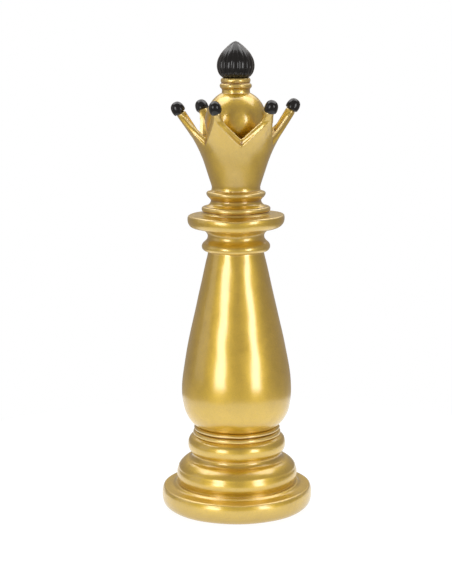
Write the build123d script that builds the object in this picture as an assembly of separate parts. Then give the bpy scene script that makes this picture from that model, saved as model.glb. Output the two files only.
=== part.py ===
from build123d import *

import math
import os

# A decorative chess queen, 385 mm tall. It is a stack of hollow cast-resin turnings that locate on short spigots
# and are clamped by one threaded rod, from an iron weight in the plinth to a nut on the floor of the crown.
# Millimetres, +Z up, the origin at the centre of the felt face that the piece stands on, -Y towards the viewer.

# Driving dimensions
HEIGHT = 385.0
BASE_DIAMETER = 125.0

# Heights of the seats between the castings, from the felt upwards
PLINTH_FOOT_Z = 0.8
PLINTH_TOP_Z = 20.6
LOWER_TORUS_TOP_Z = 46.5
UPPER_TORUS_TOP_Z = 61.4
BEAD_RING_TOP_Z = 69.2
BODY_TOP_Z = 215.6
NECK_RING_TOP_Z = 233.8
COLLAR_TOP_Z = 246.4
PEDESTAL_TOP_Z = 265.6
CROWN_FLOOR_Z = 288.0
DOME_TOP_Z = 343.8
FINIAL_NECK_TOP_Z = 356.0

# Joints between the castings: each has a spigot under it that sits in the socket of the casting below
SPIGOT_LENGTH = 4.0
SOCKET_DEPTH = 4.4
GLUE_GAP = 0.15
PLINTH_SOCKET_R = 30.0
LOWER_TORUS_SOCKET_R = 28.0
UPPER_TORUS_SOCKET_R = 28.0
BEAD_RING_SOCKET_R = 26.0
BODY_SOCKET_R = 17.0
NECK_RING_SOCKET_R = 18.0
COLLAR_SOCKET_R = 18.0
PEDESTAL_SOCKET_R = 14.0
SPIGOT_WALL = 3.5

# Body
BODY_R = BASE_DIAMETER * 0.3632
BODY_WAIST_Z = 97.0
BODY_WALL = 6.0
BODY_FOOT_R = 33.2
BODY_NECK_R = 22.6
BODY_LOWER_ARC_R = 55.0
BODY_LOWER_ARC_DEG = 14.75
BODY_FOOT_ARC_R = 22.8

# Crown: six prongs that lean outwards from a flared cup, each with a black bead
PRONGS = 6
FIRST_PRONG_DEG = 8.5
PRONG_PITCH_DEG = 360 / PRONGS
BEAD_CIRCLE_R = 47.5
BEAD_Z = 333.3
BEAD_R = 4.9
BEAD_BARREL = 4.5
BEAD_REAR_R = 4.4
PRONG_END_R = 4.0
PRONG_ROOT_R = 3.0
PRONG_ROOT = (33.9, 312.5)
NOTCH_Z = 306.0
NOTCH_SIDE_SLOPE = 1.0
CUP_WALL = 5.4

# Dome and finial
DOME_R = 25.0
DOME_CENTRE_Z = 322.0
DOME_FOOT_R = 12.5
BUD_R = 15.3
BUD_WAIST_Z = 366.0
FLUTES = 24
FLUTE_WIDTH = 0.9

# Hardware, with plain shanks at the thread's nominal size
ROD_R = 2.95
ROD_HOLE_R = 3.4
ROD_LOW_Z = 5.0
ROD_TOP_Z = 297.0
NUT_FLATS = 10.0
NUT_HEIGHT = 5.0
NUT_BORE_R = 3.0
WASHER_R = 6.25
WASHER_HEIGHT = 1.6
BEAD_PIN_R = 1.0
BEAD_PIN_HALF = 4.5
DOWEL_R = 2.5
DOWEL_LOW_Z = 334.0
DOWEL_TOP_Z = 366.0
PIN_GAP = 0.05

# Foot of the piece
FELT_R = 50.0
FELT_THICK = 2.0
PLATE_R = 52.0
PLATE_THICK = 2.6
PLATE_TOP_Z = FELT_THICK + PLATE_THICK
WEIGHT_R = 45.5
WEIGHT_LOW_Z = 6.0
WEIGHT_TOP_Z = 15.6
WEIGHT_RECESS_R = 9.0
LOW_WASHER_Z = 10.2
SCREWS = 3
SCREW_CIRCLE_R = 49.0
SCREW_R = 1.5
SCREW_HEAD_R = 2.9
SCREW_HEAD_HEIGHT = 1.6
SCREW_TOP_Z = 12.0


def at(point):
    """A half-section point (radius, height) in the XZ plane."""
    return Vector(point[0], 0, point[1])


def half_section(start, *moves):
    """A closed face from start through the moves. A move is an end point, or (point on an arc, end point)."""
    edges, here = [], start
    for move in moves:
        if isinstance(move[0], tuple):
            through, end = move
            edges.append(Edge.make_three_point_arc(at(here), at(through), at(end)))
        else:
            end = move
            edges.append(Edge.make_line(at(here), at(end)))
        here = end
    if here != start:
        edges.append(Edge.make_line(at(here), at(start)))
    return Face(Wire(edges))


def turned(start, *moves):
    """A solid of revolution about Z from a half-section."""
    return revolve(half_section(start, *moves), axis=Axis.Z)


def tube(inner, outer, low, high):
    return turned((inner, low), (outer, low), (outer, high), (inner, high))


def rod(radius, low, high):
    return turned((0, low), (radius, low), (radius, high), (0, high))


def casting(low, high, spigot, socket, outside):
    """A hollow turning: outside runs upwards from (radius, low) to (radius, high). The bore is as wide as both
    the spigot below and the socket above leave room for."""
    bore = min(spigot - SPIGOT_WALL, socket)
    fit = socket + GLUE_GAP
    ledge = high - SOCKET_DEPTH
    return turned(
        outside[0],
        *outside[1:],
        (fit, high),
        (fit, ledge),
        (bore, ledge),
        (bore, low - SPIGOT_LENGTH),
        (spigot, low - SPIGOT_LENGTH),
        (spigot, low),
    )


def base_plinth():
    low, high = PLINTH_FOOT_Z, PLINTH_TOP_Z
    rim = BASE_DIAMETER / 2
    recess = PLATE_R + GLUE_GAP
    cavity = WEIGHT_R + GLUE_GAP
    socket = PLINTH_SOCKET_R + GLUE_GAP
    solid = turned(
        (rim - 4.8, low),
        ((rim - 0.93, low + 6.4), (rim, low + 12.0)),
        ((rim - 0.55, low + 14.8), (rim - 1.6, low + 16.6)),
        (50.6, high - 0.9),
        (50.2, high),
        (socket, high),
        (socket, high - SOCKET_DEPTH),
        (ROD_HOLE_R, high - SOCKET_DEPTH),
        (ROD_HOLE_R, WEIGHT_TOP_Z),
        (cavity, WEIGHT_TOP_Z),
        (cavity, PLATE_TOP_Z),
        (recess, PLATE_TOP_Z),
        (recess, low),
    )
    pilot = rod(SCREW_R + PIN_GAP, PLATE_TOP_Z, SCREW_TOP_Z + 1)
    return solid - [spot * pilot for spot in screw_spots()]


def lower_torus():
    low, high = PLINTH_TOP_Z, LOWER_TORUS_TOP_Z
    outside = [
        (48.0, low),
        ((49.3, low + 3.8), (50.0, low + 8.4)),
        ((47.0, low + 14.4), (39.8, low + 18.0)),
        (39.1, low + 17.8),
        ((36.7, low + 20.9), (36.0, high)),
    ]
    return casting(low, high, PLINTH_SOCKET_R, LOWER_TORUS_SOCKET_R, outside)


def upper_torus():
    low, high = LOWER_TORUS_TOP_Z, UPPER_TORUS_TOP_Z
    outside = [
        (37.2, low),
        ((39.6, low + 3.0), (40.5, low + 7.4)),
        ((39.3, low + 11.9), (36.0, high)),
    ]
    return casting(low, high, LOWER_TORUS_SOCKET_R, UPPER_TORUS_SOCKET_R, outside)


def bead_ring():
    low, high = UPPER_TORUS_TOP_Z, BEAD_RING_TOP_Z
    outside = [
        (35.4, low),
        ((36.5, low + 2.0), (35.3, low + 4.2)),
        ((34.5, low + 4.7), (34.9, low + 5.4)),
        ((35.2, low + 6.7), (33.8, high)),
    ]
    return casting(low, high, UPPER_TORUS_SOCKET_R, BEAD_RING_SOCKET_R, outside)


def body_bulb():
    """A straight taper, a long arc to the waist, a second long arc below it and a short arc to the foot."""
    low, high = BEAD_RING_TOP_Z, BODY_TOP_Z
    taper = math.radians(12.2)
    taper_run = high - BODY_WAIST_Z
    rise = BODY_R - BODY_NECK_R - taper_run * math.tan(taper)
    long_r = -rise / (1 / math.cos(taper) - 1)
    turn = math.radians(BODY_LOWER_ARC_DEG)
    knee_r = BODY_R - BODY_LOWER_ARC_R * (1 - math.cos(turn))
    knee_z = BODY_WAIST_Z - BODY_LOWER_ARC_R * math.sin(turn)
    foot_centre_r = knee_r - BODY_FOOT_ARC_R * math.cos(turn)
    foot_centre_z = knee_z + BODY_FOOT_ARC_R * math.sin(turn)
    foot = math.acos((BODY_FOOT_R - foot_centre_r) / BODY_FOOT_ARC_R)
    inner_foot = foot * 0.9

    def on_upper_arc(angle, wall=0.0):
        r = BODY_R - long_r + (long_r - wall) * math.cos(angle)
        return (r, BODY_WAIST_Z + (long_r - wall) * math.sin(angle))

    def on_lower_arc(angle, wall=0.0):
        r = BODY_R - BODY_LOWER_ARC_R + (BODY_LOWER_ARC_R - wall) * math.cos(angle)
        return (r, BODY_WAIST_Z - (BODY_LOWER_ARC_R - wall) * math.sin(angle))

    def on_foot_arc(angle, wall=0.0):
        r = foot_centre_r + (BODY_FOOT_ARC_R - wall) * math.cos(angle)
        return (r, foot_centre_z - (BODY_FOOT_ARC_R - wall) * math.sin(angle))

    socket = BODY_SOCKET_R + GLUE_GAP
    bore = BEAD_RING_SOCKET_R - SPIGOT_WALL
    ledge = high - SOCKET_DEPTH
    inner_top = (BODY_NECK_R + (high - ledge) * math.tan(taper) - BODY_WALL - 1.5, ledge)
    return turned(
        (BODY_FOOT_R, low),
        (on_foot_arc((foot + turn) / 2), on_foot_arc(turn)),
        (on_lower_arc(turn / 2), (BODY_R, BODY_WAIST_Z)),
        (on_upper_arc(taper / 2), on_upper_arc(taper)),
        (BODY_NECK_R, high),
        (socket, high),
        (socket, ledge),
        inner_top,
        on_upper_arc(taper, BODY_WALL),
        (on_upper_arc(taper / 2, BODY_WALL), (BODY_R - BODY_WALL, BODY_WAIST_Z)),
        (on_lower_arc(turn / 2, BODY_WALL), on_lower_arc(turn, BODY_WALL)),
        (on_foot_arc((inner_foot + turn) / 2, BODY_WALL), on_foot_arc(inner_foot, BODY_WALL)),
        (bore, low + 3.0),
        (bore, low - SPIGOT_LENGTH),
        (BEAD_RING_SOCKET_R, low - SPIGOT_LENGTH),
        (BEAD_RING_SOCKET_R, low),
    )


def neck_ring():
    low, high = BODY_TOP_Z, NECK_RING_TOP_Z
    outside = [
        (24.8, low),
        ((28.0, low + 3.9), (25.0, low + 8.5)),
        ((23.05, low + 12.2), (25.4, low + 16.6)),
        (27.6, high),
    ]
    return casting(low, high, BODY_SOCKET_R, NECK_RING_SOCKET_R, outside)


def collar_disc():
    low, high = NECK_RING_TOP_Z, COLLAR_TOP_Z
    rim = 39.6
    outside = [
        (30.4, low),
        (33.0, low + 0.2),
        ((37.9, low + 3.2), (rim, low + 8.6)),
        ((rim - 0.6, low + 10.9), (rim - 2.0, low + 11.9)),
        (28.4, high),
    ]
    return casting(low, high, NECK_RING_SOCKET_R, COLLAR_SOCKET_R, outside)


def crown_pedestal():
    low, high = COLLAR_TOP_Z, PEDESTAL_TOP_Z
    outside = [
        (27.5, low),
        (27.7, low + 4.4),
        ((27.5, low + 5.1), (26.9, low + 5.3)),
        ((22.2, low + 7.2), (20.8, low + 10.9)),
        ((21.2, low + 13.2), (23.4, low + 14.9)),
        ((24.0, low + 16.4), (23.0, low + 18.4)),
        (20.6, high),
    ]
    return casting(low, high, COLLAR_SOCKET_R, PEDESTAL_SOCKET_R, outside)


def lean():
    """The prongs' lean from the vertical, in radians."""
    return math.atan2(BEAD_CIRCLE_R - PRONG_ROOT[0], BEAD_Z - PRONG_ROOT[1])


def prong_frame(back):
    """A plane on the first prong's axis, back from the bead's centre, with its Z along the prong."""
    direction = Vector(math.sin(lean()), 0, math.cos(lean()))
    return Plane(origin=Vector(BEAD_CIRCLE_R, 0, BEAD_Z) - direction * back, z_dir=direction)


def spun(shape, index):
    """The first prong's shape, which lies over +X, turned to prong number index."""
    return Rot(0, 0, FIRST_PRONG_DEG + index * PRONG_PITCH_DEG) * shape


def crown_cup():
    """A flared cup with a V notch between each two prongs. Its floor carries the rod's upper nut."""
    low = PEDESTAL_TOP_Z
    rim = (34.4, NOTCH_Z + 0.5)
    tip = (45.6, 324.5)
    bore = PEDESTAL_SOCKET_R - SPIGOT_WALL
    cup = turned(
        (19.3, low),
        ((25.0, 286.0), rim),
        tip,
        (tip[0] - CUP_WALL * 0.85, tip[1] + CUP_WALL * 0.53),
        (rim[0] - CUP_WALL, rim[1] + 2.0),
        ((24.2, 297.0), (20.6, CROWN_FLOOR_Z)),
        (ROD_HOLE_R, CROWN_FLOOR_Z),
        (ROD_HOLE_R, CROWN_FLOOR_Z - 5.0),
        (16.6, CROWN_FLOOR_Z - 5.0),
        (bore, low + 6.0),
        (bore, low - SPIGOT_LENGTH),
        (PEDESTAL_SOCKET_R, low - SPIGOT_LENGTH),
        (PEDESTAL_SOCKET_R, low),
    )
    notch_height = 40.0
    notch_half = notch_height * NOTCH_SIDE_SLOPE
    notch_face = Face(
        Wire.make_polygon(
            [
                Vector(10, 0, NOTCH_Z),
                Vector(10, notch_half, NOTCH_Z + notch_height),
                Vector(10, -notch_half, NOTCH_Z + notch_height),
            ]
        )
    )
    notch = extrude(notch_face, amount=60, dir=(1, 0, 0))
    cup = cup - [spun(notch, index + 0.5) for index in range(PRONGS)]
    length = math.hypot(BEAD_CIRCLE_R - PRONG_ROOT[0], BEAD_Z - PRONG_ROOT[1]) - BEAD_BARREL
    centre = BEAD_BARREL + length / 2
    prong = prong_frame(centre).location * Cone(PRONG_ROOT_R, PRONG_END_R, length)
    pin_hole = prong_frame(BEAD_BARREL).location * Cylinder(
        BEAD_PIN_R + PIN_GAP, 2 * BEAD_PIN_HALF + 0.4
    )
    for index in range(PRONGS):
        cup = cup + spun(prong, index)
    for index in range(PRONGS):
        cup = cup - spun(pin_hole, index)
    return cup


def crown_bead():
    """The bead of the first prong: a round nose on a short barrel that is a little wider than the prong."""
    rear, nose = -BEAD_BARREL, BEAD_R
    hole = BEAD_PIN_R + PIN_GAP
    depth = rear + BEAD_PIN_HALF + 0.2
    shoulder = BEAD_R * math.sqrt(0.5)
    bead = turned(
        (hole, rear),
        (BEAD_REAR_R, rear),
        ((BEAD_R * 0.975, rear * 0.5), (BEAD_R, 0)),
        ((shoulder, shoulder), (0, nose)),
        (0, depth),
        (hole, depth),
    )
    return prong_frame(0).location * bead


def bead_pin():
    return prong_frame(BEAD_BARREL).location * Cylinder(BEAD_PIN_R, 2 * BEAD_PIN_HALF)


def crown_dome():
    """A hollow ball on a foot that covers the rod's upper nut."""
    low, high = CROWN_FLOOR_Z, DOME_TOP_Z
    neck_r = math.sqrt(DOME_R**2 - (high - DOME_CENTRE_Z) ** 2)
    waist_r = 15.0
    waist_z = DOME_CENTRE_Z - math.sqrt(DOME_R**2 - waist_r**2)
    hollow_r = DOME_R - 6.0
    pocket_r = 8.5
    pocket_z = DOME_CENTRE_Z - math.sqrt(hollow_r**2 - pocket_r**2)
    dowel_hole = DOWEL_R + PIN_GAP
    hollow_top = DOME_CENTRE_Z + math.sqrt(hollow_r**2 - dowel_hole**2)
    return turned(
        (DOME_FOOT_R, low),
        (DOME_FOOT_R, low + 8.0),
        ((12.9, low + 11.2), (waist_r, waist_z)),
        ((DOME_R, DOME_CENTRE_Z), (neck_r, high)),
        (dowel_hole, high),
        (dowel_hole, hollow_top),
        ((hollow_r, DOME_CENTRE_Z), (pocket_r, pocket_z)),
        (pocket_r, low),
    )


def finial_neck():
    low, high = DOME_TOP_Z, FINIAL_NECK_TOP_Z
    return turned(
        (11.4, low),
        (11.5, low + 3.6),
        ((12.9, low + 5.9), (11.8, low + 8.0)),
        (11.5, low + 8.4),
        ((11.9, low + 10.0), (10.8, high)),
        (DOWEL_R + PIN_GAP, high),
        (DOWEL_R + PIN_GAP, low),
    )


def finial_bud():
    """A pointed bud with shallow flutes that fade out at its tip and foot."""
    low = FINIAL_NECK_TOP_Z
    hole = DOWEL_R + PIN_GAP
    hole_top = DOWEL_TOP_Z + 0.5
    bud = turned(
        (10.6, low),
        ((14.2, low + 4.4), (BUD_R, BUD_WAIST_Z)),
        ((11.2, 376.2), (0.7, HEIGHT - 0.35)),
        (0, HEIGHT),
        (0, hole_top),
        (hole, hole_top),
        (hole, low),
    )
    slot_face = half_section(
        (10.9, low + 0.4),
        (BUD_R + 3, low + 0.4),
        (BUD_R + 3, HEIGHT - 2.0),
        (2.4, HEIGHT - 2.0),
        ((BUD_R - 0.9, BUD_WAIST_Z), (10.9, low + 0.4)),
    )
    slot = extrude(slot_face, amount=FLUTE_WIDTH / 2, both=True, dir=(0, 1, 0))
    return bud - [Rot(0, 0, index * 360 / FLUTES) * slot for index in range(FLUTES)]


def finial_dowel():
    return rod(DOWEL_R, DOWEL_LOW_Z, DOWEL_TOP_Z)


def tie_rod():
    return rod(ROD_R, ROD_LOW_Z, ROD_TOP_Z)


def nut(low):
    blank = extrude(RegularPolygon(NUT_FLATS / 2, 6, major_radius=False), amount=NUT_HEIGHT)
    return Pos(0, 0, low) * blank - rod(NUT_BORE_R, low, low + NUT_HEIGHT)


def tie_rod_nuts():
    return Compound([nut(LOW_WASHER_Z - NUT_HEIGHT), nut(CROWN_FLOOR_Z + WASHER_HEIGHT)])


def tie_rod_washers():
    lows = (LOW_WASHER_Z, CROWN_FLOOR_Z)
    return Compound([tube(ROD_R + 0.25, WASHER_R, low, low + WASHER_HEIGHT) for low in lows])


def ballast_weight():
    recess_top = LOW_WASHER_Z + WASHER_HEIGHT
    return turned(
        (WEIGHT_RECESS_R, WEIGHT_LOW_Z),
        (WEIGHT_R, WEIGHT_LOW_Z),
        (WEIGHT_R, WEIGHT_TOP_Z),
        (ROD_HOLE_R, WEIGHT_TOP_Z),
        (ROD_HOLE_R, recess_top),
        (WEIGHT_RECESS_R, recess_top),
    )


def screw_spots():
    return PolarLocations(SCREW_CIRCLE_R, SCREWS).locations


def base_plate():
    plate = rod(PLATE_R, FELT_THICK, PLATE_TOP_Z)
    sink = Cone(SCREW_HEAD_R + PIN_GAP, SCREW_R + PIN_GAP, SCREW_HEAD_HEIGHT)
    sink = Pos(0, 0, FELT_THICK + SCREW_HEAD_HEIGHT / 2) * sink
    hole = sink + rod(SCREW_R + PIN_GAP, FELT_THICK, PLATE_TOP_Z)
    return plate - [spot * hole for spot in screw_spots()]


def base_plate_screws():
    head_top = FELT_THICK + SCREW_HEAD_HEIGHT
    screw = turned(
        (0, FELT_THICK),
        (SCREW_HEAD_R, FELT_THICK),
        (SCREW_R, head_top),
        (SCREW_R, SCREW_TOP_Z - 1.5),
        (0, SCREW_TOP_Z),
    )
    return Compound([spot * screw for spot in screw_spots()])


def felt_pad():
    return rod(FELT_R, 0, FELT_THICK)


PARTS = {
    "base_plinth": base_plinth,
    "lower_torus": lower_torus,
    "upper_torus": upper_torus,
    "bead_ring": bead_ring,
    "body_bulb": body_bulb,
    "neck_ring": neck_ring,
    "collar_disc": collar_disc,
    "crown_pedestal": crown_pedestal,
    "crown_cup": crown_cup,
    "crown_dome": crown_dome,
    "finial_neck": finial_neck,
    "finial_bud": finial_bud,
    "finial_dowel": finial_dowel,
    "tie_rod": tie_rod,
    "tie_rod_nuts": tie_rod_nuts,
    "tie_rod_washers": tie_rod_washers,
    "ballast_weight": ballast_weight,
    "base_plate": base_plate,
    "base_plate_screws": base_plate_screws,
    "felt_pad": felt_pad,
}

os.makedirs("parts", exist_ok=True)
for name, make in PARTS.items():
    export_step(make(), f"parts/{name}.step")
for index in range(PRONGS):
    export_step(spun(crown_bead(), index), f"parts/crown_bead_{index + 1}.step")
    export_step(spun(bead_pin(), index), f"parts/bead_pin_{index + 1}.step")
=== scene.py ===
import math

import bpy
import numpy as np
from mathutils import Matrix, Vector


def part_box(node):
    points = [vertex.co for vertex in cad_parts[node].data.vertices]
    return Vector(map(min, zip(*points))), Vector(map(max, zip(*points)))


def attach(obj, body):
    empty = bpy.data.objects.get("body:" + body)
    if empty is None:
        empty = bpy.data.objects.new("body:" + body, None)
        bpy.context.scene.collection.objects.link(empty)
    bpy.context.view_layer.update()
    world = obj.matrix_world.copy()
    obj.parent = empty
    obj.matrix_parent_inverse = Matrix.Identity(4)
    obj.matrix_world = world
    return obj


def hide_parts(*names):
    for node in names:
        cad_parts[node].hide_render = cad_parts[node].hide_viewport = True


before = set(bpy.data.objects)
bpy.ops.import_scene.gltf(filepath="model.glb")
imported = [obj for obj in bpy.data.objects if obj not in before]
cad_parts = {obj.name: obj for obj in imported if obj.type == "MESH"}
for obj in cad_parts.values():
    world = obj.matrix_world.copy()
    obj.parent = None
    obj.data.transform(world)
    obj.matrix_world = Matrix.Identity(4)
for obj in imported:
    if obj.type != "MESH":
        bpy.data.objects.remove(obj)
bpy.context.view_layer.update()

# The looks of a gold-painted cast chess queen with black-painted crown tips and bud.
# Shapes are worked out in millimetres in the shared frame and turned into metres when a mesh is made.
# +Z is up, the piece stands on z = 0, and the viewer is on the -Y side.

MM = 0.001
TAU = 2 * math.pi
FRONT = -math.pi / 2


def top_of(node):
    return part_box(node)[1][2] / MM


def foot_of(node):
    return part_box(node)[0][2] / MM


# Curves -------------------------------------------------------------------------------------------


def through(points, step, soften):
    """A curve of (radius, height) points, evenly spaced. It is a spline through the points between corners,
    which are points with a third value, and soften rounds those corners by about that many millimetres."""
    runs, run = [], [points[0][:2]]
    for p in points[1:]:
        run.append(p[:2])
        if len(p) > 2:
            runs.append(run)
            run = [p[:2]]
    if len(run) > 1:
        runs.append(run)
    dense = [np.array(points[0][:2], float)[None]]
    for run in runs:
        p = np.array(run, float)
        p = np.vstack([2 * p[0] - p[1], p, 2 * p[-1] - p[-2]])
        for k in range(1, len(p) - 2):
            dense.append(catmull(p[k - 1 : k + 3], 16)[1:])
    line = np.vstack(dense)
    line = evenly(line, step)
    if soften > 0 and len(line) > 4:
        line = blurred(line, soften / step)
    return line


def catmull(p, count):
    """Centripetal Catmull-Rom between the middle two of four points."""
    t = [0.0]
    for a, b in zip(p[:-1], p[1:]):
        t.append(t[-1] + max(np.linalg.norm(b - a), 1e-6) ** 0.5)
    s = np.linspace(t[1], t[2], count + 1)[:, None]

    def mix(a, b, ta, tb):
        return (tb - s) / (tb - ta) * a + (s - ta) / (tb - ta) * b

    a1 = mix(p[0], p[1], t[0], t[1])
    a2 = mix(p[1], p[2], t[1], t[2])
    a3 = mix(p[2], p[3], t[2], t[3])
    b1 = mix(a1, a2, t[0], t[2])
    b2 = mix(a2, a3, t[1], t[3])
    return mix(b1, b2, t[1], t[2])


def evenly(line, step):
    """A line's points set out again about a step apart."""
    length = np.concatenate([[0], np.cumsum(np.linalg.norm(np.diff(line, axis=0), axis=1))])
    count = max(2, int(round(length[-1] / step)) + 1)
    at = np.linspace(0, length[-1], count)
    return np.column_stack([np.interp(at, length, line[:, k]) for k in range(line.shape[1])])


def blurred(line, sigma):
    """A line smoothed over sigma points, with its ends kept in place."""
    reach = max(1, int(3 * sigma))
    kernel = np.exp(-0.5 * (np.arange(-reach, reach + 1) / sigma) ** 2)
    kernel /= kernel.sum()
    head = 2 * line[0] - line[1 : reach + 1][::-1]
    tail = 2 * line[-1] - line[-reach - 1 : -1][::-1]
    full = np.vstack([head, line, tail])
    return np.column_stack([np.convolve(full[:, k], kernel, "valid") for k in range(line.shape[1])])


# The slips of a hand-finished casting -------------------------------------------------------------


class Waves:
    """A smooth field over (angle, height) that goes round without a seam, about -1 to 1."""

    def __init__(self, seed, turns, rise, count=14):
        draw = np.random.default_rng(seed)
        self.k = draw.integers(1, turns + 1, count)
        self.m = draw.uniform(-rise, rise, count)
        self.phase = draw.uniform(0, TAU, count)
        self.gain = 1 / np.sqrt(count * 0.5)

    def __call__(self, angle, height):
        total = np.zeros(np.broadcast(angle, height).shape)
        for k, m, phase in zip(self.k, self.m, self.phase):
            total += np.cos(k * angle + m * height + phase)
        return total * self.gain


LONG_R = Waves(3, 3, 0.03)
LONG_Z = Waves(5, 3, 0.05)
SHORT_R = Waves(7, 9, 0.25)
SHORT_Z = Waves(11, 8, 0.3)
SAG_LONG = 0.16
SAG_SHORT = 0.07


def hand_cast(co):
    """Moves points by the one field that all castings share, so that their seams stay shut."""
    x, y, z = co[:, 0], co[:, 1], co[:, 2]
    angle, r = np.arctan2(y, x), np.hypot(x, y)
    out = np.clip((r - 8.0) / 12.0, 0, 1)
    up = np.clip((z - 1.5) / 8.0, 0, 1)
    move = out * (SAG_LONG * LONG_R(angle, z) + SAG_SHORT * SHORT_R(angle, z))
    rise = out * up * (SAG_LONG * LONG_Z(angle, z) + SAG_SHORT * SHORT_Z(angle, z))
    # Beside the mould's parting line at the front and the back, the rings sag a little.
    for centre, depth in ((FRONT + 0.06, 0.32), (FRONT + 0.06 + math.pi, 0.2)):
        off = np.angle(np.exp(1j * (angle - centre)))
        rise -= out * up * depth * np.exp(-((off / 0.16) ** 2)) * np.clip((r - 24) / 10, 0, 1)
    inner = np.maximum(r, 1e-6)
    return np.column_stack([x * (1 + move / inner), y * (1 + move / inner), z + rise])


# Meshes -------------------------------------------------------------------------------------------


def normals_of(co, quads):
    a, b, c, d = (co[quads[:, k]] for k in range(4))
    face = np.cross(c - a, d - b)
    total = np.zeros_like(co)
    for k in range(4):
        np.add.at(total, quads[:, k], face)
    return total / np.maximum(np.linalg.norm(total, axis=1, keepdims=True), 1e-12)


def edges_of(quads):
    pairs = np.concatenate([quads[:, [k, (k + 1) % 4]] for k in range(4)])
    pairs = pairs[pairs[:, 0] != pairs[:, 1]]
    return np.unique(np.sort(pairs, axis=1), axis=0)


def bend_of(co, quads, rounds):
    """Curvature per millimetre at each point: above 0 on an edge, below 0 in a crease."""
    normal, edges = normals_of(co, quads), edges_of(quads)
    a, b = edges.T
    gap = co[b] - co[a]
    turn = ((normal[b] - normal[a]) * gap).sum(1) / np.maximum((gap * gap).sum(1), 1e-9)
    count = np.bincount(edges.ravel(), minlength=len(co)).astype(float)
    value = np.bincount(a, turn, len(co)) + np.bincount(b, turn, len(co))
    value /= np.maximum(count, 1)
    for _ in range(rounds):
        around = np.bincount(a, value[b], len(co)) + np.bincount(b, value[a], len(co))
        value = 0.5 * value + 0.5 * around / np.maximum(count, 1)
    return value


def make_piece(name, co, faces, material, bend=None, sharp=38.0):
    """A shaded object from points in millimetres. Faces are quads, and one that repeats a point is a
    triangle. The paint reads bend, the curvature at each point, and edges over sharp degrees stay hard."""
    mesh = bpy.data.meshes.new(name)
    clean = [tuple(dict.fromkeys(f)) for f in faces.tolist()]
    mesh.from_pydata((co * MM).tolist(), [], clean)
    mesh.validate()
    mesh.update()
    mesh.shade_smooth()
    mesh.set_sharp_from_angle(angle=math.radians(sharp))
    if bend is not None:
        layer = mesh.attributes.new("bend", "FLOAT", "POINT")
        layer.data.foreach_set("value", bend.astype(np.float32))
    piece = bpy.data.objects.new(name, mesh)
    bpy.context.scene.collection.objects.link(piece)
    mesh.materials.append(material)
    return piece


def lathe(section, segments, closed=True, shape=None):
    """Points and quads of a section of (radius, height) turned about Z. A section that isn't closed starts
    and ends on the axis. shape may move the radii and heights at each angle."""
    angle = np.arange(segments) * TAU / segments
    s = len(section)
    r = np.repeat(section[:, 0][:, None], segments, 1)
    z = np.repeat(section[:, 1][:, None], segments, 1)
    a = np.repeat(angle[None], s, 0)
    if shape:
        r, z = shape(r, z, a)
    co = np.stack([r * np.cos(a), r * np.sin(a), z], -1).reshape(-1, 3)
    i = np.arange(s if closed else s - 1)
    j = np.arange(segments)
    ii, jj = np.meshgrid(i, j, indexing="ij")
    up, on = (ii + 1) % s, (jj + 1) % segments
    index = [ii * segments + jj, ii * segments + on, up * segments + on, up * segments + jj]
    quads = np.stack(index, -1).reshape(-1, 4)
    if not closed:
        quads[quads < segments] = 0
        last = (s - 1) * segments
        quads[quads >= last] = last
    return co, quads


def turned(name, node, outside, inside, material, segments=288, step=0.55, soften=0.4, shape=None):
    """A turned casting that stands for its CAD node: outside runs upwards, inside comes back down."""
    outer = through(outside, step, soften)
    section = np.vstack([outer, np.array(inside, float)])
    co, quads = lathe(section, segments, shape=shape)
    co = hand_cast(co)
    piece = make_piece(name, co, quads, material, bend_of(co, quads, 2))
    stands_for(piece, node)
    return piece


def stands_for(piece, node):
    """The piece joins the root body and hides its CAD node, whose place it takes."""
    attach(piece, "root")
    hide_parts(node)


# Materials ----------------------------------------------------------------------------------------


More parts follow.
